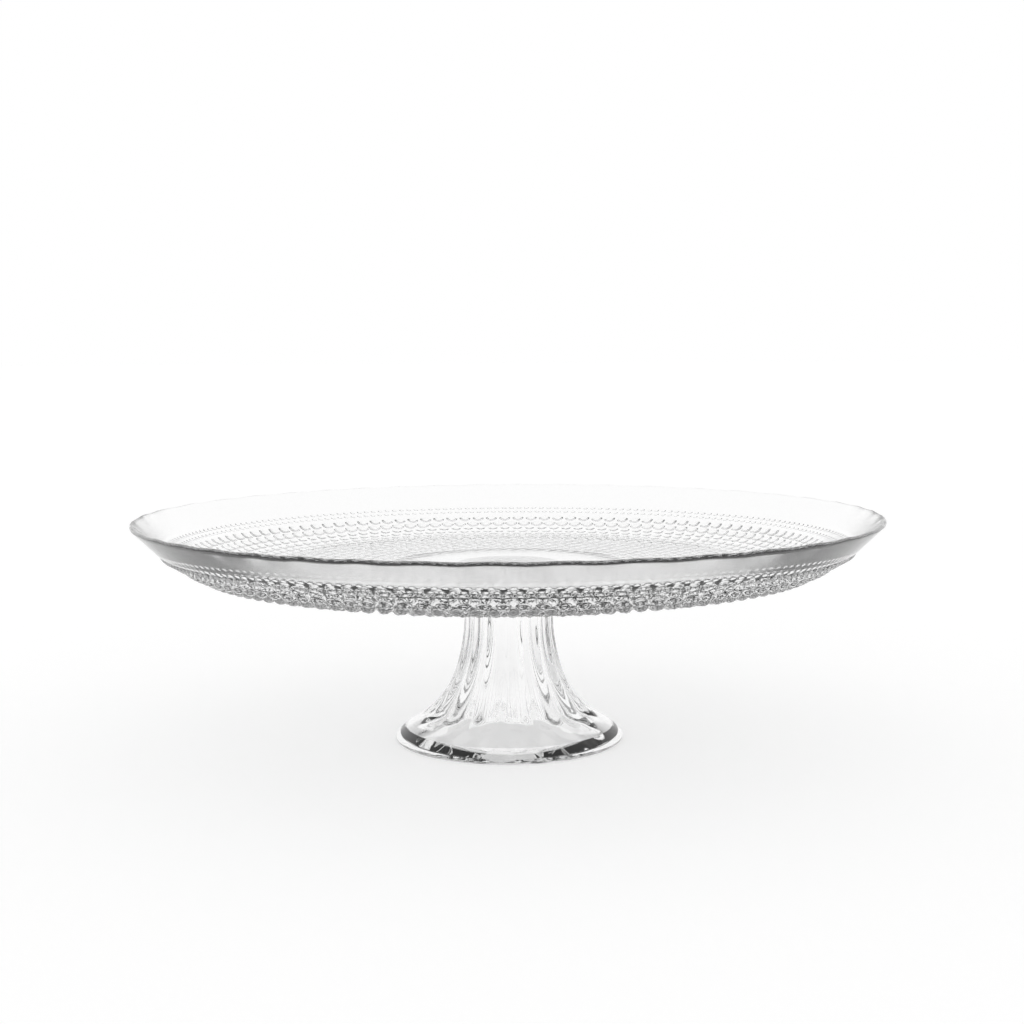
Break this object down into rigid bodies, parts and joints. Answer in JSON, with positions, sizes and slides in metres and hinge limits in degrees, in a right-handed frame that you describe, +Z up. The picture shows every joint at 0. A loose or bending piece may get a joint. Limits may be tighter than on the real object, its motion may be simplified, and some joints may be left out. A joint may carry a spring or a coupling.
{
  "type": "footed cake plate",
  "caption": "Round cake plate in clear pressed glass with a beaded underside and a smooth flange, on a hollow fluted foot.",
  "frame": {"origin": "centre of the circle the foot stands on, at table height", "axes": "+Z up along the axis of the dish and foot; X and Y level"},
  "size_m": [0.32, 0.32, 0.0984],
  "materials": {
    "dish_glass": "clear pressed soda-lime glass, fire-polished",
    "wafer_glass": "clear soda-lime glass, hot-joined",
    "foot_glass": "clear pressed soda-lime glass, fire-polished"
  },
  "bodies": {
    "root": {"plate": "dish_glass", "wafer": "wafer_glass", "pedestal": "foot_glass"}
  },
  "joints": []
}
